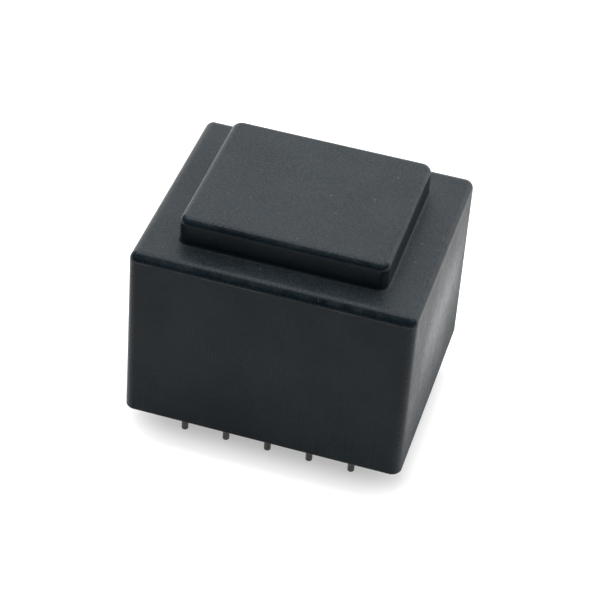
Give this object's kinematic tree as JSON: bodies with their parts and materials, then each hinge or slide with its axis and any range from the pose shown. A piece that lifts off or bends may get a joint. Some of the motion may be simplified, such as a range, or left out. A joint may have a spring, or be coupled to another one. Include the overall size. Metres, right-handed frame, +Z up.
{
  "type": "encapsulated pcb transformer",
  "caption": "Encapsulated board transformer: a stepped black plastic housing filled with resin round its core and coil, with two rows of round solder pins below.",
  "frame": {"origin": "the middle of the pin grid, in the plane of the board that the housing's rim stands on", "axes": "+X along the longer side, from pin 1 to pin 5; +Y from the front row of pins to the back row; +Z up, away from the board"},
  "size_m": [0.0324, 0.0274, 0.0304],
  "materials": {
    "housing_plastic": "satin moulded black plastic with a fine grain",
    "potting_resin": "cast black resin",
    "bobbin_plastic": "natural moulded plastic",
    "core_steel": "stamped electrical steel",
    "winding_copper": "enamelled copper wire",
    "winding_tape": "yellow polyester tape",
    "lead_wire": "copper wire under a coat of solder",
    "pin_metal": "tinned wire, dull"
  },
  "bodies": {
    "root": {"housing": "housing_plastic", "potting_resin": "potting_resin", "bobbin": "bobbin_plastic", "core_e_sheets": "core_steel", "core_i_sheets": "core_steel", "primary_winding": "winding_copper", "secondary_winding": "winding_copper", "primary_tape": "winding_tape", "secondary_tape": "winding_tape", "primary_lead_start": "lead_wire", "primary_lead_end": "lead_wire", "secondary_lead_start": "lead_wire", "secondary_lead_end": "lead_wire", "pin_1": "pin_metal", "pin_2": "pin_metal", "pin_3": "pin_metal", "pin_4": "pin_metal", "pin_5": "pin_metal", "pin_6": "pin_metal", "pin_7": "pin_metal", "pin_8": "pin_metal", "pin_9": "pin_metal", "pin_10": "pin_metal"}
  },
  "joints": []
}
